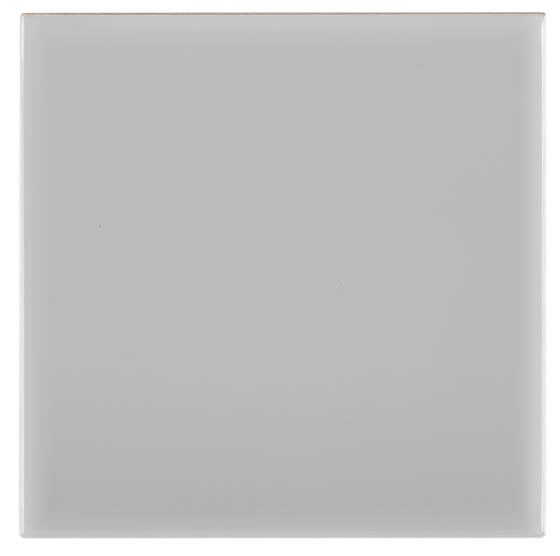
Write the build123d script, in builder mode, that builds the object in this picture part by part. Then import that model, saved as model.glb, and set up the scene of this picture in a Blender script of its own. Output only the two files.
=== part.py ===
from build123d import *
import os

# Square glazed ceramic wall tile, lying face up.
#
# The tile is one piece: clay pressed dry in a square die, glazed and fired. Its face is
# a cushion, flat in the middle and falling away gently along all four sides. The front
# edge is rolled over into upright sides, the plan corners are small radii, the back rim
# is bevelled, and the back is a waffle of shallow pockets whose ribs key into adhesive.
#
# Millimetres. +Z is the way the glazed face looks, X and Y run along the sides, and the
# origin is the middle of the plane that the back ribs rest on.

# Outline
tile_size = 150.0  # from one upright side to the opposite one
tile_thickness = 8.0  # from the crests of the back ribs to the flat middle of the face
corner_radius = 1.6  # plan radius of the upright corners

# Face
cushion_width = 11.0  # from the side to where the flat middle starts
cushion_fall = 0.6  # how much lower the face is above a side than in the middle
edge_roll_radius = 1.3  # front edge, between the face and the side

# Back
back_bevel = 0.8  # 45 degree bevel round the back rim
key_depth = 0.6  # depth of the pockets between the ribs
key_spacing = 12.0  # from pocket to pocket, before the rows are fitted to the tile
key_rib_width = 3.0  # width of a rib's crest
key_border = 4.0  # plain border from the side to the outermost pockets
key_draft = 35.0  # slope of a pocket's walls, in degrees from upright

# What follows from the sizes above
half_size = tile_size / 2
roll_radius = min(edge_roll_radius, 0.9 * corner_radius)
row_length = tile_size - 2 * key_border + key_rib_width
pockets_in_row = max(1, int(row_length // key_spacing))
pocket_spacing = row_length / pockets_in_row
pocket_mouth = pocket_spacing - key_rib_width


def cushion_line(level):
    """Draw the face's line from the middle of the tile to a side, and return its fall."""
    middle = Line((0, level), (half_size - cushion_width, level))
    return TangentArc(
        middle @ 1,
        (half_size, level - cushion_fall),
        tangent=middle % 1,
    )


with BuildPart() as tile:
    # Cushioned face: the section across the tile is carried along the same falling line
    # at right angles to it, so a corner falls away twice as far as the middle of a side
    with BuildSketch(Plane.XZ) as section:
        with BuildLine():
            fall = cushion_line(tile_thickness)
            Polyline(fall @ 1, (half_size, 0), (0, 0))
            mirror(about=Plane.YZ)
        make_face()
    with BuildLine(Plane.YZ) as way_to_side:
        cushion_line(0)
    sweep(path=way_to_side.wire(), normal=(0, 1, 0))
    mirror(about=Plane.XZ)

    # Upright sides with small plan corners, standing on the plane of the ribs
    with BuildSketch() as outline:
        RectangleRounded(tile_size, tile_size, corner_radius)
    extrude(amount=tile_thickness, mode=Mode.INTERSECT)

    # Rolled front edge
    sides = tile.faces().filter_by(lambda face: abs(face.normal_at().Z) < 0.001)
    front_rim = sides.edges().filter_by_position(Axis.Z, tile_thickness / 2, tile_thickness)
    fillet(front_rim, roll_radius)

    # Bevelled back rim
    back_rim = tile.edges().group_by(Axis.Z)[0]
    chamfer(back_rim, back_bevel)

    # Waffle back: square pockets with sloping walls, as the press plate leaves them
    with BuildSketch() as pocket_mouths:
        with GridLocations(pocket_spacing, pocket_spacing, pockets_in_row, pockets_in_row):
            Rectangle(pocket_mouth, pocket_mouth)
    extrude(amount=key_depth, taper=key_draft, mode=Mode.SUBTRACT)

tile.part.label = "tile"

os.makedirs("parts", exist_ok=True)
export_step(tile.part, "parts/tile.step")
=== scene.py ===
import math
import bmesh
import bpy
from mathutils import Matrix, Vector, noise


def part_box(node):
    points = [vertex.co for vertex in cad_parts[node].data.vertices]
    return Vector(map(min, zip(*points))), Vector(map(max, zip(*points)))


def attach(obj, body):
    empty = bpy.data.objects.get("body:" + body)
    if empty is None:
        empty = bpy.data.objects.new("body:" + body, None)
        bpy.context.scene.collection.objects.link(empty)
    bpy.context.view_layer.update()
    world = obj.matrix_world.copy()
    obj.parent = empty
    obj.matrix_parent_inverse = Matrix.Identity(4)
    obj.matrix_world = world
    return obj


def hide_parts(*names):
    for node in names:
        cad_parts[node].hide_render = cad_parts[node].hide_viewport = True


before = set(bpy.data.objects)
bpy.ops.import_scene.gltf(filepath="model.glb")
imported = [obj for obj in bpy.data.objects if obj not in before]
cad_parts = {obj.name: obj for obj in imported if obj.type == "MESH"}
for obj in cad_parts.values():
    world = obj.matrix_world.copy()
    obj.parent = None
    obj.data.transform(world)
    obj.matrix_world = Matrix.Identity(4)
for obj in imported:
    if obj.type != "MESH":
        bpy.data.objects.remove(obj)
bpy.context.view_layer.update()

# A square glazed ceramic wall tile, lying face up on a white table and seen from above.
# Metres, in the frame of the part: +Z out of the face, +Y towards the side with the bare edge.
# Upper, lower, left and right are as the camera sees them: +Y, -Y, -X and +X.
# Most pairs of values are spans: what a span steers is off at its first value, full at its second
# and changes smoothly between them, whichever is larger. The place of a mark on the face is a
# pair too, and so is its size, which is half its width and half its height.

MM = 0.001

# Sizes of the tile. Its length and thickness come from the frame, and the rest repeats the
# part's own sizes, which the frame's box doesn't tell
tile_low, tile_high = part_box("tile")
tile_size = tile_high.x - tile_low.x
thickness = tile_high.z - tile_low.z
half_size = tile_size / 2
corner_radius = 1.6 * MM
cushion_width = 11.0 * MM
cushion_fall = 0.6 * MM
edge_roll = 1.3 * MM
back_bevel = 0.8 * MM
key_depth = 0.6 * MM
key_spacing = 12.0 * MM
key_rib_width = 3.0 * MM
key_border = 4.0 * MM
key_draft = math.radians(35)
key_corner = 1.0 * MM
key_brim = 0.15 * MM

# How closely the tile is cut for its curved face and its sides
corner_steps = 6
roll_steps = 10
cushion_steps = 14
rim_row = 0.4 * MM  # the last row of the cushion, beside the roll
side_step = 1.5 * MM
row_step = 0.3 * MM
key_corner_steps = 2

# How faces and edges are told apart
facing_down = -0.9
facing_aside = 0.1
facing_alike = 0.9
level_within = 1e-6
on_plane_within = 1e-7

# Where the glaze and the engobe end, going down from the front of the roll
glaze_down_side = 4.2 * MM
glaze_wander = 0.9 * MM  # how much that line wanders
glaze_wander_length = 14 * MM
glaze_ripple = 0.27 * MM  # a shorter wander on top of it
glaze_ripple_length = 4 * MM
bare_edge_at_left = 0.18 * MM  # where it ends on the +Y side, whose edge was scraped
bare_edge_at_right = 0.32 * MM
bare_edge_at_left_corner = 0.38 * MM  # what each corner adds to it
bare_edge_at_right_corner = 0.08 * MM
bare_edge_wander = 0.025 * MM
bare_edge_wander_length = 9 * MM
scraped_turn = (0.15, 0.45)  # how much of a side's direction is towards +Y
engobe_band = 0.30 * MM  # engobe showing past the edge of the glaze
engobe_wander_length = 6 * MM
engobe_runs = (-69.75 * MM, -67.35 * MM)  # where a run of engobe crosses the scraped edge
engobe_run_width = (0.25 * MM, 0.05 * MM)
engobe_run_length = 0.8 * MM
glaze_lip = 0.06 * MM  # how far the glaze stands out from the clay
glaze_lip_slope = (-0.15 * MM, 0.15 * MM)

# Seeds that keep one wander from following another
glaze_seed = 3.1
glaze_ripple_seed = 7.7
bare_edge_seed = 5.3
engobe_seed = 9.2
edge_waver_seed = 1.7

# Width of the strips on the left and right roll, thin glaze with a painted highlight, and where they come to
# it
left_strip_at_top = 1.17 * MM
left_strip_at_bottom = 1.57 * MM
left_strip_top_end = (0.5 * MM, 1.4 * MM)
left_strip_bottom_end = (0.4 * MM, 2.1 * MM)
right_strip_at_top = 1.34 * MM
right_strip_at_bottom = 1.28 * MM
right_strip_tip = 0.5 * MM
right_strip_tip_length = 4.1 * MM
right_strip_bottom_end = (0.5 * MM, 2.7 * MM)
right_swell_at_top = 0.12 * MM
right_swell_top_end = (10 * MM, 8.5 * MM)
right_swell_at_bottom = 0.31 * MM
right_swell_bottom_end = (20 * MM, 11 * MM)

# Paleness of the glaze, partly from thinner glaze and partly painted highlight: 0 as on the face, 1 where it
# is pale and this where it is palest
peak_paleness = 2.5

# What makes both strips paler than 1, in from the outline: a painted highlight over the outer half and the
# crest
strip_outer_half = (1.0 * MM, 0.2 * MM)
strip_outer_gain = 0.76
strip_crest_inside = (0.95 * MM, 0.55 * MM)
strip_crest_outside = (0.25 * MM, 0.38 * MM)
strip_crest_gain = 0.38

# What makes the left strip paler or less pale: more painted highlight, or painted shade as on its
# head's rim and neck. Its middle and low part are shares of the way down, its head and neck are
# measured from the upper side and its foot from the lower one
left_gain = 0.04
left_middle = (0.3, 0.6)
left_middle_gain = 0.12
left_low_inner = (0.5, 0.95)
left_low_inner_gain = 0.14
left_low_outer = (0.55, 0.80)
left_low_outer_loss = 0.32
left_foot = (16 * MM, 8 * MM)
left_foot_inner_gain = 0.18
left_foot_outer_gain = -0.08
left_head = (13.6 * MM, 12.0 * MM)
left_head_gain = 0.12
left_head_rim = (0.44 * MM, 0.24 * MM)
left_head_rim_end = (13.8 * MM, 11.6 * MM)
left_head_rim_loss = 1.40
left_neck_top = (13.0 * MM, 14.5 * MM)
left_neck_bottom = (33 * MM, 25 * MM)
left_neck_loss = 0.32

# The same for the right strip, painted highlight and painted shade, whose body is measured in from the
# outline
right_loss = 0.10
right_outer_gain = 0.20
right_body = (1.1 * MM, 0.7 * MM)
right_body_gain = 0.32
right_upper = (60 * MM, 30 * MM)
right_upper_inner_gain = 0.30
right_head = (14 * MM, 9 * MM)
right_head_inner_gain = 0.15
right_tip = (4 * MM, 2 * MM)
right_tip_loss = 0.20
right_foot = (12 * MM, 5 * MM)
right_foot_body = (0.15 * MM, 0.45 * MM)
right_foot_gain = 0.36

# Paleness of the lower roll, which is mitred to the strips, and of the corners: partly thinner glaze and
# partly painted highlight, with a painted shade line along the lower rim
low_mitre = (-1.8 * MM, 0.4 * MM)
low_margin = (3.2 * MM, 1.6 * MM)
low_margin_gain = 0.20
low_roll = (1.3 * MM, 0.7 * MM)
low_roll_gain = 0.62
low_rim = (0.40 * MM, 0.15 * MM)
low_rim_loss = 0.60
low_ends = (4 * MM, 2 * MM)
low_ends_gain = 0.18
corner_curve = (1.3 * MM, 0.85 * MM)
top_left_paleness = 2.0
top_right_paleness = 0.9
bottom_left_paleness = 0.9
bottom_right_paleness = 1.1

# The fired tile: each side has drawn in a little more at one end than at the other
left_side_at_top = 0.27 * MM
right_side_at_top = 0.05 * MM
top_side_at_left = 0.29 * MM
top_side_at_right = 0.14 * MM
bottom_side_at_left = 0.17 * MM
bottom_side_at_right = 0.27 * MM
bottom_side_bow = 0.03 * MM
corner_flare = 0.05 * MM  # how much less the upper and lower sides draw in at their ends
edge_waver = 0.02 * MM
edge_waver_length = 30 * MM

# Power of the curve that each corner follows, where 2 is a circle and more is squarer
top_left_squareness = 2.6
top_right_squareness = 3.5
bottom_left_squareness = 2.0
bottom_right_squareness = 1.6

# The photograph's frame and the nominal square in it, in pixels
photo_width = 560
photo_height = 556
square_left = 19.03
square_right = 546.46
square_top = 11.47
square_bottom = 538.9


# Shape

def fall_at(distance):
    """How far the cushion has fallen, at a distance in from a side."""
    into_cushion = max(0.0, cushion_width - distance)
    radius = (cushion_width ** 2 + cushion_fall ** 2) / (2 * cushion_fall)
    return radius - math.sqrt(radius ** 2 - into_cushion ** 2)


def outline_distance(point):
    """How far a point lies in from the tile's rounded square outline."""
    past_x = abs(point.x) - (half_size - corner_radius)
    past_y = abs(point.y) - (half_size - corner_radius)
    if past_x > 0 and past_y > 0:
        return corner_radius - math.hypot(past_x, past_y)
    return corner_radius - max(past_x, past_y)


def outward(point):
    """The level direction out of the tile at a point near its outline."""
    past_x = max(0.0, abs(point.x) - (half_size - corner_radius))
    past_y = max(0.0, abs(point.y) - (half_size - corner_radius))
    direction = Vector((math.copysign(past_x, point.x), math.copysign(past_y, point.y), 0))
    return direction.normalized() if direction.length > 0 else Vector((0, 0, 0))


def on_corner(point):
    """How much a point is on a corner: 0 beside a side and 1 in the middle of the corner's curve."""
    out = outward(point)
    return 2 * abs(out.x * out.y)


def by_corner(point, top_left, top_right, bottom_left, bottom_right):
    """The value for the quarter of the tile that a point is in."""
    if point.y > 0:
        return top_left if point.x < 0 else top_right
    return bottom_left if point.x < 0 else bottom_right


def wander(point, length, seed):
    """Smooth unevenness between about -1 and 1, with a typical length."""
    return noise.noise(Vector((point.x / length, point.y / length, seed)))


def between(start, end, share):
    return start + (end - start) * share


def clamped(share):
    return min(1.0, max(0.0, share))


def past(value, span):
    """0 up to a span's start, 1 past its end and a smooth change between."""
    start, end = span
    share = clamped((value - start) / (end - start))
    return share * share * (3 - 2 * share)


def steps_between(low, high, step):
    """Places from low to high, evenly spaced and no further apart than step."""
    count = math.ceil((high - low) / step)
    return [low + (high - low) * i / count for i in range(count + 1)]


def bevel(mesh, edges, width, steps):
    bmesh.ops.bevel(
        mesh, geom=edges, offset=width, offset_type="OFFSET", affect="EDGES",
        segments=steps, profile=0.5, material=-1,
    )


def cut(mesh, axis, places, wanted):
    """Cuts the faces that wanted() picks by planes across an axis at the given places."""
    for place in places:
        faces = [face for face in mesh.faces if wanted(face)]
        edges = dict.fromkeys(edge for face in faces for edge in face.edges)
        points = dict.fromkeys(vert for face in faces for vert in face.verts)
        bmesh.ops.bisect_plane(
            mesh, geom=[*points, *edges, *faces], dist=on_plane_within,
            plane_co=axis * place, plane_no=axis,
        )


def back(face):
    return face.normal.z <= facing_down


def not_back(face):
    return not back(face)


def upright(face):
    return abs(face.normal.z) < facing_aside


def by_side(face):
    """Whether a face lies on a side, on its roll or in the row of the cushion beside it."""
    return not_back(face) and outline_distance(face.calc_center_median()) < edge_roll + rim_row


def rise(edge):
    return abs(edge.verts[0].co.z - edge.verts[1].co.z)


def pressed_blank():
    """A slab with rounded corners, a rolled front edge and a bevelled back rim."""
    mesh = bmesh.new()
    bmesh.ops.create_cube(mesh, size=1.0)
    bmesh.ops.scale(mesh, vec=(tile_size, tile_size, thickness), verts=mesh.verts)
    bmesh.ops.translate(mesh, vec=(0, 0, thickness / 2), verts=mesh.verts)
    corners = [edge for edge in mesh.edges if rise(edge) > thickness / 2]
    bevel(mesh, corners, corner_radius, corner_steps)
    front = max(mesh.faces, key=lambda face: face.calc_center_median().z)
    bevel(mesh, list(front.edges), edge_roll, roll_steps)
    underside = min(mesh.faces, key=lambda face: face.calc_center_median().z)
    bevel(mesh, list(underside.edges), back_bevel, 1)
    return mesh


def crown(mesh):
    """Cuts the face closely along its margins and lets it fall away as a cushion."""
    start = half_size - cushion_width
    end = half_size - edge_roll - rim_row
    near = steps_between(start, end, (end - start) / cushion_steps)
    places = [-place for place in reversed(near)] + near
    cut(mesh, Vector((1, 0, 0)), places, not_back)
    cut(mesh, Vector((0, 1, 0)), places, not_back)
    middle = steps_between(-start, start, side_step)[1:-1]
    cut(mesh, Vector((1, 0, 0)), middle, by_side)
    cut(mesh, Vector((0, 1, 0)), middle, by_side)
    side_top = thickness - edge_roll
    cut(mesh, Vector((0, 0, 1)), steps_between(back_bevel, side_top, row_step)[1:-1], upright)
    for vert in mesh.verts:
        share = clamped((vert.co.z - back_bevel) / (side_top - back_bevel))
        fall = fall_at(half_size - abs(vert.co.x)) + fall_at(half_size - abs(vert.co.y))
        vert.co.z -= share * fall


def waffle_back(mesh):
    """Presses the pockets that key the tile into its adhesive, with rounded corners."""
    row_length = tile_size - 2 * key_border + key_rib_width
    count = int(row_length // key_spacing)
    spacing = row_length / count
    mouth = spacing - key_rib_width
    middles = [spacing * (i - (count - 1) / 2) for i in range(count)]
    places = sorted(m + side * mouth / 2 for m in middles for side in (-1, 1))
    cut(mesh, Vector((1, 0, 0)), places, back)
    cut(mesh, Vector((0, 1, 0)), places, back)

    def in_pocket(value):
        return min(abs(value - middle) for middle in middles) < mouth / 4

    floors = [
        face for face in mesh.faces if back(face)
        and in_pocket(face.calc_center_median().x) and in_pocket(face.calc_center_median().y)
    ]
    walls = set(bmesh.ops.inset_individual(
        mesh, faces=floors, thickness=key_depth * math.tan(key_draft), depth=-key_depth,
    )["faces"])
    corners = [
        edge for edge in mesh.edges
        if len(edge.link_faces) == 2 and all(face in walls for face in edge.link_faces)
    ]
    bevel(mesh, corners, key_corner, key_corner_steps)
    brims = [
        edge for edge in mesh.edges
        if len(edge.link_faces) == 2
        and rise(edge) < level_within
        and edge.verts[0].co.z < key_depth + level_within
        and outline_distance(edge.verts[0].co) > 2 * back_bevel
        and edge.link_faces[0].normal.dot(edge.link_faces[1].normal) < facing_alike
    ]
    bevel(mesh, brims, key_brim, 1)


def strip_reach(point):
    """How far a point lies inside a strip of thin glaze with a painted highlight; negative outside it."""
    from_top = half_size - point.y
    from_bottom = half_size + point.y
    down = from_top / tile_size
    if point.x < 0:
        width = between(left_strip_at_top, left_strip_at_bottom, down)
        width *= past(from_top, left_strip_top_end)
        width *= past(from_bottom, left_strip_bottom_end)
    else:
        width = between(right_strip_at_top, right_strip_at_bottom, down)
        width += right_swell_at_top * past(from_top, right_swell_top_end)
        width += right_swell_at_bottom * past(from_bottom, right_swell_bottom_end)
        width *= math.sqrt(clamped((from_top - right_strip_tip) / right_strip_tip_length))
        width *= past(from_bottom, right_strip_bottom_end)
    return width - outline_distance(point)


def strip_paleness_and_highlight(point):
    """How pale a strip is: thin glaze with a painted highlight, and painted shade where it is less pale."""
    inward = outline_distance(point)
    from_top = half_size - point.y
    from_bottom = half_size + point.y
    down = from_top / tile_size
    outer = past(inward, strip_outer_half)
    inner = 1 - outer
    crest = past(inward, strip_crest_inside) * past(inward, strip_crest_outside)
    pale = 1 + strip_outer_gain * outer + strip_crest_gain * crest
    if point.x < 0:
        head_rim = past(inward, left_head_rim) * past(from_top, left_head_rim_end)
        neck = past(from_top, left_neck_top) * past(from_top, left_neck_bottom)
        foot_gain = between(left_foot_inner_gain, left_foot_outer_gain, outer)
        pale += left_gain + left_middle_gain * past(down, left_middle)
        pale += left_low_inner_gain * inner * past(down, left_low_inner)
        pale -= left_low_outer_loss * outer * past(down, left_low_outer)
        pale += foot_gain * past(from_bottom, left_foot)
        pale += left_head_gain * past(from_top, left_head)
        pale -= left_head_rim_loss * head_rim + left_neck_loss * neck
    else:
        foot = past(inward, right_foot_body) * past(from_bottom, right_foot)
        pale += right_outer_gain * outer + right_body_gain * past(inward, right_body) - right_loss
        pale += right_upper_inner_gain * inner * past(from_top, right_upper)
        pale += right_head_inner_gain * inner * past(from_top, right_head)
        pale -= right_tip_loss * past(from_top, right_tip)
        pale += right_foot_gain * foot
    return pale


def roll_paleness_and_highlight(point):
    """How pale the glaze is off the strips: as on the face, and paler over the lower roll and corners, partly
    as thinner glaze and partly as painted highlight, with painted shade along the lower rim.
    """
    inward = outline_distance(point)
    from_side = half_size - abs(point.x)
    from_bottom = half_size + point.y
    low = low_margin_gain * past(inward, low_margin) + low_roll_gain * past(inward, low_roll)
    low -= low_rim_loss * past(inward, low_rim)
    low += low_ends_gain * past(from_side, low_ends)
    low *= past(from_side - from_bottom, low_mitre)
    corner = by_corner(
        point, top_left_paleness, top_right_paleness, bottom_left_paleness, bottom_right_paleness,
    )
    return between(low, corner, on_corner(point) * past(inward, corner_curve))


def coat_reaches(point):
    """How far the edges of the glaze and of the engobe lie past a point, going down the side.

    Positive is coated. On the +Y side the edge was scraped, so both end on the roll."""
    over_roll = edge_roll - outline_distance(point)
    side_top = thickness - edge_roll - cushion_fall
    if point.z <= side_top:
        travelled = edge_roll * math.pi / 2 + side_top - point.z + max(0.0, -over_roll)
    elif over_roll <= 0:
        travelled = over_roll
    else:
        travelled = edge_roll * math.asin(min(1.0, over_roll / edge_roll))
    low_edge = glaze_down_side + glaze_wander * wander(point, glaze_wander_length, glaze_seed)
    low_edge += glaze_ripple * wander(point, glaze_ripple_length, glaze_ripple_seed)
    at_corner = bare_edge_at_left_corner if point.x < 0 else bare_edge_at_right_corner
    bare_edge = between(bare_edge_at_left, bare_edge_at_right, point.x / tile_size + 0.5)
    bare_edge += bare_edge_wander * wander(point, bare_edge_wander_length, bare_edge_seed)
    bare_edge += at_corner * on_corner(point)
    glaze = between(low_edge, bare_edge, past(outward(point).y, scraped_turn)) - travelled
    engobe = glaze + engobe_band + bare_edge_wander * wander(point, engobe_wander_length, engobe_seed)
    return glaze, engobe


def drawn_in(point):
    """How far the firing has moved a point towards the middle of the tile."""
    up = point.y / tile_size + 0.5
    along = point.x / tile_size + 0.5
    near_x = max(0.0, 1 - (half_size - abs(point.x)) / cushion_width)
    near_y = max(0.0, 1 - (half_size - abs(point.y)) / cushion_width)
    if point.x < 0:
        move_x = left_side_at_top * up
    else:
        move_x = -right_side_at_top * up
    flare = corner_flare * fall_at(half_size - abs(point.x)) / cushion_fall
    if point.y < 0:
        move_y = between(bottom_side_at_left, bottom_side_at_right, along) - flare
        move_y += bottom_side_bow * math.sin(math.pi * along)
    else:
        move_y = flare - between(top_side_at_left, top_side_at_right, along)
    return Vector((move_x * near_x, move_y * near_y, 0))


def corner_shift(point):
    """How far a point by a corner moves out where the corner is squarer than a circle."""
    past_x = abs(point.x) - (half_size - corner_radius)
    past_y = abs(point.y) - (half_size - corner_radius)
    if past_x <= 0 or past_y <= 0:
        return Vector((0, 0, 0))
    power = by_corner(
        point, top_left_squareness, top_right_squareness,
        bottom_left_squareness, bottom_right_squareness,
    )
    length = math.hypot(past_x, past_y)
    spread = (past_x / length) ** power + (past_y / length) ** power
    return outward(point) * length * (spread ** (-1 / power) - 1)


def fire(mesh):
    """Uneven sides, the step from the glaze down to the clay, and what the finishes read.

    The distances that the finishes read are in millimetres."""
    glaze_layer = mesh.verts.layers.float.new("glaze_reach")
    engobe_layer = mesh.verts.layers.float.new("engobe_reach")
    rim_layer = mesh.verts.layers.float.new("rim_distance")
    strip_reach_layer = mesh.verts.layers.float.new("strip_reach")
    strip_layer = mesh.verts.layers.float.new("strip_paleness_and_highlight")
    roll_layer = mesh.verts.layers.float.new("roll_paleness_and_highlight")
    for vert in mesh.verts:
        point = vert.co.copy()
        glaze, engobe = coat_reaches(point)
        inward = outline_distance(point)
        vert[glaze_layer] = glaze / MM
        vert[engobe_layer] = engobe / MM
        vert[rim_layer] = inward / MM
        vert[strip_reach_layer] = strip_reach(point) / MM
        vert[strip_layer] = strip_paleness_and_highlight(point)
        vert[roll_layer] = roll_paleness_and_highlight(point)
        vert.co += drawn_in(point) + corner_shift(point)
        if inward < edge_roll and point.z > back_bevel + level_within:
            waver = 0.5 + 0.5 * wander(point, edge_waver_length, edge_waver_seed)
            recess = glaze_lip * (1 - past(glaze, glaze_lip_slope))
            recess += edge_waver * waver * (1 - inward / edge_roll)
            vert.co -= outward(point) * recess


def make_tile():
    mesh = pressed_blank()
    crown(mesh)
    waffle_back(mesh)
    fire(mesh)
    bmesh.ops.recalc_face_normals(mesh, faces=mesh.faces)
    for face in mesh.faces:
        face.smooth = True
    data = bpy.data.meshes.new("glazed_tile")
    mesh.to_mesh(data)
    mesh.free()
    tile = bpy.data.objects.new("glazed_tile", data)
    bpy.context.scene.collection.objects.link(tile)
    weighted = tile.modifiers.new("weighted normals", "WEIGHTED_NORMAL")
    weighted.weight = 100
    weighted.keep_sharp = True
    return tile


# Finishes

class Nodes:
    """Short calls for the nodes of one material.

    A Mix node's inputs go by number: 0 is the share, 2 and 3 are numbers, 6 and 7 are colours."""

    def __init__(self, tree):
        self.tree = tree

    def add(self, kind, inputs=(), **settings):
        """A node with its settings, and its inputs as numbers or as other nodes' outputs."""
        node = self.tree.nodes.new(kind)
        for name, value in settings.items():
            setattr(node, name, value)
        for key, value in dict(inputs).items():
            if isinstance(value, bpy.types.NodeSocket):
                self.tree.links.new(value, node.inputs[key])
            else:
                node.inputs[key].default_value = value
        return node

    def math(self, operation, a, b=0.0):
        return self.add("ShaderNodeMath", {0: a, 1: b}, operation=operation).outputs[0]

    def plus(self, a, b):
        return self.math("ADD", a, b)

    def minus(self, a, b):
        return self.math("SUBTRACT", a, b)

    def times(self, value, *others):
        for other in others:
            value = self.math("MULTIPLY", value, other)
        return value

    def attribute(self, name):
        return self.add("ShaderNodeAttribute", attribute_name=name).outputs["Fac"]

    def ramp(self, value, span, first=0.0, last=1.0, smooth=True):
        """A value carried from a span to first..last and held outside it."""
        kind = "SMOOTHSTEP" if smooth else "LINEAR"
        start, end = span
        inputs = {"Value": value, "From Min": start, "From Max": end, "To Min": first, "To Max": last}
        return self.add("ShaderNodeMapRange", inputs, interpolation_type=kind).outputs[0]

    def stretched(self, place, scale):
        return self.add("ShaderNodeMapping", {"Vector": place, "Scale": scale}).outputs[0]

    def noise(self, place, size, detail=3.0, roughness=0.5):
        """Noise from 0 to 1 whose features are about size metres across."""
        inputs = {"Vector": place, "Scale": 1 / size, "Detail": detail, "Roughness": roughness}
        return self.add("ShaderNodeTexNoise", inputs).outputs["Fac"]

    def grains(self, place, spacing):
        """Distance to the nearest of many scattered grains, as a share of their spacing."""
        inputs = {"Vector": place, "Scale": 1 / spacing}
        return self.add("ShaderNodeTexVoronoi", inputs).outputs["Distance"]

    def mix(self, share, a, b):
        """Colour a where share is 0 and colour b where it is 1."""
        return self.add("ShaderNodeMix", {0: share, 6: a, 7: b}, data_type="RGBA").outputs[2]

    def mix_values(self, share, a, b):
        """Number a where share is 0 and number b where it is 1."""
        return self.add("ShaderNodeMix", {0: share, 2: a, 3: b}, data_type="FLOAT").outputs[0]

    def spot(self, place, middle, half_wide, half_high):
        """1 in the middle of an upright oval on the face, falling to 0 at its edge."""
        x, y = middle
        scaled = self.add("ShaderNodeMapping", {
            "Vector": place, "Location": (-x / half_wide, -y / half_high, 0),
            "Scale": (1 / half_wide, 1 / half_high, 0),
        }).outputs[0]
        length = self.add("ShaderNodeVectorMath", {0: scaled}, operation="LENGTH").outputs["Value"]
        return self.ramp(length, spot_edge)


def new_material(name):
    material = bpy.data.materials.new(name)
    material.use_nodes = True
    material.node_tree.nodes.clear()
    return material, Nodes(material.node_tree)


def grey(level):
    return (level, level, level, 1.0)


# Colours
glaze_grey = (0.432, 0.440, 0.451, 1.0)
# The cushion's margin colours, paler than the face: partly thinner glaze, partly painted light
glaze_margin_warm = (0.459, 0.457, 0.463, 1.0)
glaze_margin_cool = (0.468, 0.476, 0.489, 1.0)
# Dark of the pinholes' painted shade, also used for the dull streaks of the scuffs
pit_shade_and_dull_streak = (0.150, 0.140, 0.130, 1.0)
# Pale glaze: worn and rubbed glaze, and the thin glaze of the strips with their painted highlight and the
# pinholes' painted gleam
pale_glaze_and_highlight = (0.635, 0.637, 0.643, 1.0)
# Palest: the middle of the strips' painted highlight
palest_glaze_and_highlight = (0.882, 0.884, 0.890, 1.0)
# Cream engobe, a little paler than it is as a painted highlight along the glossy edge of the glaze
engobe_cream_and_highlight = (0.700, 0.645, 0.580, 1.0)
clay_red = (0.348, 0.268, 0.234, 1.0)
clay_pale = (0.415, 0.350, 0.314, 1.0)
pale_grey_clay = (0.560, 0.490, 0.440, 1.0)
grain_brown = (0.150, 0.100, 0.080, 1.0)
grain_white = (0.680, 0.610, 0.560, 1.0)

# Edges of the coats, in the millimetres that the finishes read
ragged_size = 0.9 * MM
ragged_depth = 0.07
glaze_edge = (-0.05, 0.05)
engobe_edge = (-0.06, 0.06)
strip_edge = (-0.06, 0.08)

# The glaze of the face: its clouds, and where its margin is warm instead of cool
cloud_size = 28 * MM
cloud_contrast = (0.3, 0.7)
cloud_strength = 0.12
warm_left = (-half_size, -0.5 * half_size)
warm_low = (-0.9 * half_size, -0.8 * half_size)
warm_low_rim = (2.6, 4.2)

# Pinholes, with painted shade in them, and the painted gleam beside all but one of them
pinhole_top_left = (-41.9 * MM, 67.4 * MM)
pinhole_top_right = (38.3 * MM, 59.5 * MM)
pinhole_left = (-51.8 * MM, 13.8 * MM)
pinhole_low = (22.7 * MM, -56.5 * MM)
pinhole_size = (0.30 * MM, 0.75 * MM)
top_left_pit_shade = 0.16
top_right_pit_shade = 0.27
left_pit_shade = 0.50
low_pit_shade = 0.20
gleam_left = -0.45 * MM
gleam_right = 0.30 * MM
gleam_strength = 0.25
spot_edge = (1.0, 0.3)

# Scuffs made of worn and dull streaks, and rub marks
scuff_middle = (16.4 * MM, -2.6 * MM)
scuff_middle_size = (1.5 * MM, 2.6 * MM)
scuff_low = (18.6 * MM, -41.0 * MM)
scuff_low_size = (1.3 * MM, 1.2 * MM)
streak_size = 0.6 * MM
streak_stretch = (1.0, 0.5, 1.0)
worn_streak = (0.50, 0.68)
worn_strength = 0.35
dull_streak = (0.50, 0.32)
dull_strength = 0.22
rub_wide = (-19.6 * MM, -73.95 * MM)
rub_wide_size = (2.2 * MM, 0.45 * MM)
rub_narrow = (-11.0 * MM, -73.95 * MM)
rub_narrow_size = (1.3 * MM, 0.45 * MM)
rub_strength = 0.28

# The clay: mottling, patches, grains, paler and greyer clay towards the upper left end, and the kiln's dust
# on the ribs
mottle_size = 0.8 * MM
mottle_contrast = (0.35, 0.65)
patch_size = 18 * MM
patch_contrast = (0.55, 0.75)
patch_strength = 0.5
pale_left_end = (-58 * MM, -68 * MM)
pale_left_end_strength = 0.3
dark_grain_spacing = 1.5 * MM
dark_grain_edge = (0.20, 0.12)
dark_grain_strength = 0.65
pale_grain_spacing = 2.1 * MM
pale_grain_edge = (0.15, 0.09)
pale_grain_strength = 0.60
rib_face = (0.12 * MM, 0.04 * MM)
rib_dust_size = 5 * MM
rib_dust_contrast = (0.38, 0.60)
rib_dust_strength = 0.75

# Gloss and relief
glaze_roughness = 0.06
clay_roughness = 0.85
ripple_size = 9 * MM
ripple_height = 0.006 * MM
clay_grain_size = 0.35 * MM
clay_grain_height = 0.06 * MM
drag_size = 0.7 * MM
drag_stretch = (1.0, 1.0, 0.08)
drag_height = 0.08 * MM
pit_spacing = 2.6 * MM
pit_edge = (0.16, 0.08)
pit_depth = 0.15 * MM


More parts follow.
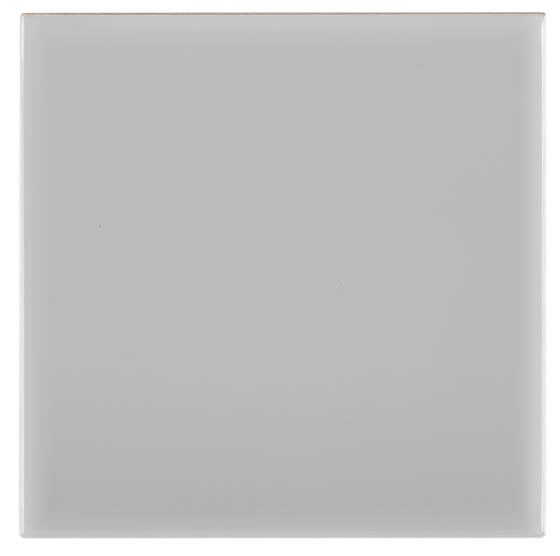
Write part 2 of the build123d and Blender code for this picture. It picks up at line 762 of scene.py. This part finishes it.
def glaze_colour(nodes, place, sideways, upwards):
    """Cloudy grey, paler over the cushion and paler still on the roll, partly where it thins and partly as
    painted light, with its faults and the painted shade and gleam of its pinholes.
    """
    rim_distance = nodes.attribute("rim_distance")
    cloud = nodes.noise(place, cloud_size, detail=4.0, roughness=0.55)
    cloud = nodes.ramp(cloud, cloud_contrast, -cloud_strength, cloud_strength, smooth=False)
    # Paler over the cushion: partly thinner glaze, partly painted light that the tilted margin would catch
    cushion_paleness = nodes.plus(nodes.ramp(rim_distance, (cushion_width / MM, edge_roll / MM)), cloud)
    off_low_rim = nodes.math("MAXIMUM", nodes.ramp(rim_distance, warm_low_rim), nodes.ramp(upwards, warm_low))
    cool = nodes.times(nodes.ramp(sideways, warm_left), off_low_rim)
    glaze = nodes.mix(cushion_paleness, glaze_grey, nodes.mix(cool, glaze_margin_warm, glaze_margin_cool))
    # The strips on the rolled left and right edges: thin glaze with a painted highlight
    in_strip = nodes.ramp(nodes.attribute("strip_reach"), strip_edge)
    pale = nodes.mix_values(in_strip, nodes.attribute("roll_paleness_and_highlight"), nodes.attribute("strip_paleness_and_highlight"))
    glaze = nodes.mix(nodes.ramp(pale, (0.0, 1.0), smooth=False), glaze, pale_glaze_and_highlight)
    glaze = nodes.mix(nodes.ramp(pale, (1.0, peak_paleness), smooth=False), glaze, palest_glaze_and_highlight)

    for hole, pit_shade, gleam_aside in (
        (pinhole_top_left, top_left_pit_shade, gleam_left),
        (pinhole_top_right, top_right_pit_shade, None),
        (pinhole_left, left_pit_shade, gleam_right),
        (pinhole_low, low_pit_shade, gleam_right),
    ):
        # Painted shade in each pinhole, and a painted gleam beside it on its rim
        pit = nodes.spot(place, hole, *pinhole_size)
        glaze = nodes.mix(nodes.times(pit, pit_shade), glaze, pit_shade_and_dull_streak)
        if gleam_aside is not None:
            gleam = nodes.spot(place, (hole[0] + gleam_aside, hole[1]), *pinhole_size)
            glaze = nodes.mix(nodes.times(gleam, gleam_strength), glaze, pale_glaze_and_highlight)
    streaks = nodes.noise(nodes.stretched(place, streak_stretch), streak_size, detail=2.0)
    for scuff, size in ((scuff_middle, scuff_middle_size), (scuff_low, scuff_low_size)):
        spot = nodes.spot(place, scuff, *size)
        worn = nodes.times(spot, nodes.ramp(streaks, worn_streak, 0.0, worn_strength))
        dull = nodes.times(spot, nodes.ramp(streaks, dull_streak, 0.0, dull_strength))
        glaze = nodes.mix(dull, nodes.mix(worn, glaze, pale_glaze_and_highlight), pit_shade_and_dull_streak)
    for mark, size in ((rub_wide, rub_wide_size), (rub_narrow, rub_narrow_size)):
        rubbed = nodes.times(nodes.spot(place, mark, *size), rub_strength)
        glaze = nodes.mix(rubbed, glaze, pale_glaze_and_highlight)
    return glaze


def clay_colour(nodes, place, sideways, upwards, height_up):
    """Mottled biscuit with dark and pale grains, paler and greyer towards the upper left end, and dust from
    the kiln on the ribs.
    """
    mottle = nodes.noise(place, mottle_size, detail=5.0, roughness=0.65)
    clay = nodes.mix(nodes.ramp(mottle, mottle_contrast), clay_red, clay_pale)
    patches = nodes.noise(place, patch_size, detail=4.0, roughness=0.6)
    clay = nodes.mix(nodes.ramp(patches, patch_contrast, 0.0, patch_strength), clay, pale_grey_clay)
    at_end = nodes.ramp(sideways, pale_left_end, 0.0, pale_left_end_strength)
    clay = nodes.mix(nodes.times(at_end, nodes.ramp(upwards, (0.0, half_size))), clay, pale_grey_clay)
    dark = nodes.ramp(nodes.grains(place, dark_grain_spacing), dark_grain_edge, 0.0, dark_grain_strength)
    clay = nodes.mix(dark, clay, grain_brown)
    pale = nodes.ramp(nodes.grains(place, pale_grain_spacing), pale_grain_edge, 0.0, pale_grain_strength)
    clay = nodes.mix(pale, clay, grain_white)
    dust = nodes.ramp(nodes.noise(place, rib_dust_size, detail=5.0, roughness=0.7), rib_dust_contrast)
    on_rib = nodes.ramp(height_up, rib_face, 0.0, rib_dust_strength)
    return nodes.mix(nodes.times(on_rib, dust), clay, pale_grey_clay)


def relief(nodes, place, glazed):
    """Height of the faint ripple of the glaze, and of the clay's grain, pits and drag marks of the die."""
    ripple = nodes.times(nodes.noise(place, ripple_size, detail=2.0), ripple_height)
    grain = nodes.noise(place, clay_grain_size, detail=4.0, roughness=0.7)
    drag = nodes.noise(nodes.stretched(place, drag_stretch), drag_size)
    pits = nodes.ramp(nodes.grains(place, pit_spacing), pit_edge)
    clay = nodes.plus(nodes.times(grain, clay_grain_height), nodes.times(drag, drag_height))
    clay = nodes.minus(clay, nodes.times(pits, pit_depth))
    return nodes.mix_values(glazed, clay, ripple)


def glazed_clay():
    """Glossy grey glaze that thins towards the rim and is painted paler there as a highlight, over cream
    engobe and red-brown clay.
    """
    material, nodes = new_material("glazed_clay")
    place = nodes.add("ShaderNodeTexCoord").outputs["Object"]
    sideways, upwards, height_up = nodes.add("ShaderNodeSeparateXYZ", {0: place}).outputs

    ragged = nodes.times(nodes.minus(nodes.noise(place, ragged_size), 0.5), ragged_depth)
    glazed = nodes.ramp(nodes.plus(nodes.attribute("glaze_reach"), ragged), glaze_edge)
    engobe = nodes.minus(nodes.attribute("engobe_reach"), ragged)
    for run in engobe_runs:
        aside = nodes.math("ABSOLUTE", nodes.minus(sideways, run))
        length = nodes.ramp(aside, engobe_run_width, 0.0, engobe_run_length / MM)
        engobe = nodes.plus(engobe, nodes.times(length, nodes.ramp(upwards, (0.0, half_size))))
    coated = nodes.ramp(engobe, engobe_edge)

    clay = clay_colour(nodes, place, sideways, upwards, height_up)
    glaze = glaze_colour(nodes, place, sideways, upwards)
    colour = nodes.mix(glazed, nodes.mix(coated, clay, engobe_cream_and_highlight), glaze)
    roughness = nodes.ramp(glazed, (0.0, 1.0), clay_roughness, glaze_roughness, smooth=False)
    height = relief(nodes, place, glazed)
    bump = nodes.add("ShaderNodeBump", {"Height": height, "Strength": 1.0, "Distance": 1.0})
    surface = nodes.add("ShaderNodeBsdfPrincipled", {
        "Base Color": colour, "Roughness": roughness, "IOR": 1.5, "Normal": bump.outputs[0],
    })
    nodes.add("ShaderNodeOutputMaterial", {"Surface": surface.outputs[0]})
    return material


# Studio

# The white table, where the glow and the little light that the seen card returns add up to white
table_reach = 6.0
card_level = 0.8
seen_card_level = 0.30
table_glow = 0.79


def table_white():
    """White table: seen as a white ground that keeps a faint shadow, and lit as white card."""
    material, nodes = new_material("table_white")
    light_path = nodes.add("ShaderNodeLightPath").outputs
    seen = nodes.math("MAXIMUM", light_path["Is Camera Ray"], light_path["Is Glossy Ray"])
    seen = nodes.math("MAXIMUM", seen, light_path["Is Transmission Ray"])
    card = nodes.add("ShaderNodeBsdfDiffuse", {"Color": grey(card_level)}).outputs[0]
    seen_card = nodes.add("ShaderNodeBsdfDiffuse", {"Color": grey(seen_card_level)}).outputs[0]
    glow = nodes.add("ShaderNodeEmission", {"Color": grey(1.0), "Strength": table_glow}).outputs[0]
    ground = nodes.add("ShaderNodeAddShader", {0: seen_card, 1: glow}).outputs[0]
    surface = nodes.add("ShaderNodeMixShader", {0: seen, 1: card, 2: ground}).outputs[0]
    nodes.add("ShaderNodeOutputMaterial", {"Surface": surface})
    return material


def add_table():
    mesh = bmesh.new()
    bmesh.ops.create_grid(mesh, x_segments=1, y_segments=1, size=table_reach)
    data = bpy.data.meshes.new("table")
    mesh.to_mesh(data)
    mesh.free()
    table = bpy.data.objects.new("table", data)
    bpy.context.scene.collection.objects.link(table)
    table.data.materials.append(table_white())


# Brightness of the studio as the glaze sees it, where 1 shows as white
ambient = 0.038
wall_level = 0.86
overhead_level = 1.22
overhead_dip = 0.18
overhead_lean = 0.20
stand_level = -1.08
stand_arm_level = -0.27
stand_arm_far_share = 0.75  # what is left of the arm past its far end
left_panel_level = 1.82
right_panel_level = 4.55
back_panel_level = 0.64
left_lamp_level = 2.3
left_back_lamp_level = 4.0
right_lamp_level = 2.4

# Where each of them begins and where it is full, measured on a sky of radius 1
horizon = (-0.02, 0.02)
wall_top = (0.35, 0.10)
overhead_edge = (0.445, 0.335)
overhead_dip_edge = (0.0, 0.074)
overhead_lean_width = (-0.09, 0.09)
high_up_edge = (0.62, 0.45)
stand_near = (0.026, 0.077)
stand_far = (0.275, 0.20)
stand_side = (0.24, 0.08)
stand_arm_near = (0.062, 0.0665)
stand_arm_far = (0.107, 0.085)
left_panel_edge = (0.12, 0.34)
right_panel_edge = (0.134, 0.38)
back_panel_edge = (-0.02, 0.23)
lamp_edge = (0.30, 0.45)
lamp_bottom = (0.20, 0.45)
lamp_front_end = (0.15, 0.09)
lamp_back_end = (0.30, 0.22)
left_lamp_back_end = (0.060, 0.0)
left_back_lamp_start = (0.055, 0.068)


def light_studio():
    """A white studio round the tile: pale walls, an overhead sheet, panels and a lamp at each side.

    The dark stand of the camera takes a band out of the overhead light, towards -Y."""
    world = bpy.data.worlds.new("studio")
    bpy.context.scene.world = world
    world.use_nodes = True
    world.node_tree.nodes.clear()
    nodes = Nodes(world.node_tree)
    direction = nodes.add("ShaderNodeTexCoord").outputs["Generated"]
    parts = nodes.add("ShaderNodeSeparateXYZ", {0: direction}).outputs
    x, y, z = parts["X"], parts["Y"], parts["Z"]
    left = nodes.times(x, -1.0)
    front = nodes.times(y, -1.0)
    aside = nodes.math("ABSOLUTE", x)
    from_zenith = nodes.math("SQRT", nodes.minus(1.0, nodes.times(z, z)))

    above = nodes.ramp(z, horizon)
    overhead = nodes.times(above, nodes.ramp(from_zenith, overhead_edge))
    high_up = nodes.times(above, nodes.ramp(from_zenith, high_up_edge))
    stand = nodes.times(high_up, nodes.ramp(front, stand_far), nodes.ramp(aside, stand_side))
    arm_far = nodes.ramp(front, stand_arm_far, stand_arm_far_share, 1.0)
    over_walls = nodes.ramp(z, lamp_bottom)
    lamp_back = nodes.ramp(y, lamp_back_end)
    lamp = nodes.times(over_walls, nodes.ramp(front, lamp_front_end))
    back_lamp = nodes.times(over_walls, nodes.ramp(y, left_back_lamp_start), lamp_back)
    total = nodes.ramp(z, wall_top, ambient, wall_level)
    for part in (
        nodes.times(overhead_level, overhead),
        nodes.times(-overhead_dip, overhead, nodes.ramp(aside, overhead_dip_edge)),
        nodes.times(overhead_lean, overhead, nodes.ramp(x, overhead_lean_width, 0.5, -0.5, smooth=False)),
        nodes.times(stand_level, stand, nodes.ramp(front, stand_near)),
        nodes.times(stand_arm_level, stand, nodes.ramp(front, stand_arm_near), arm_far),
        nodes.times(left_panel_level, high_up, nodes.ramp(left, left_panel_edge)),
        nodes.times(right_panel_level, high_up, nodes.ramp(x, right_panel_edge)),
        nodes.times(back_panel_level, high_up, nodes.ramp(y, back_panel_edge)),
        nodes.times(left_lamp_level, lamp, nodes.ramp(y, left_lamp_back_end), nodes.ramp(left, lamp_edge)),
        nodes.times(left_back_lamp_level, back_lamp, nodes.ramp(left, lamp_edge)),
        nodes.times(right_lamp_level, lamp, lamp_back, nodes.ramp(x, lamp_edge)),
    ):
        total = nodes.plus(total, part)
    total = nodes.math("MAXIMUM", total, 0.0)
    background = nodes.add("ShaderNodeBackground", {"Color": grey(1.0), "Strength": total})
    nodes.add("ShaderNodeOutputWorld", {"Surface": background.outputs[0]})


# The camera, whose lens and sensor are in millimetres
lens_length = 200
sensor_width = 36
nearest_seen = 0.01
farthest_seen = 50


def add_camera():
    """A long lens straight above, framed so that the square falls where the photograph has it."""
    camera = bpy.data.objects.new("camera", bpy.data.cameras.new("camera"))
    bpy.context.scene.collection.objects.link(camera)
    camera.data.lens = lens_length
    camera.data.sensor_width = sensor_width
    camera.data.clip_start = nearest_seen
    camera.data.clip_end = farthest_seen
    pixels_per_metre = (square_right - square_left) / tile_size
    distance = lens_length / sensor_width * photo_width / pixels_per_metre
    outline_height = thickness - edge_roll - cushion_fall
    middle_x = (square_left + square_right) / 2 - photo_width / 2
    middle_y = (square_top + square_bottom) / 2 - photo_height / 2
    camera.location = (-middle_x / pixels_per_metre, middle_y / pixels_per_metre, outline_height + distance)
    bpy.context.scene.camera = camera


tile = make_tile()
tile.data.materials.append(glazed_clay())
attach(tile, "root")
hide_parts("tile")

add_table()
light_studio()
add_camera()
bpy.context.scene.view_settings.view_transform = "Standard"
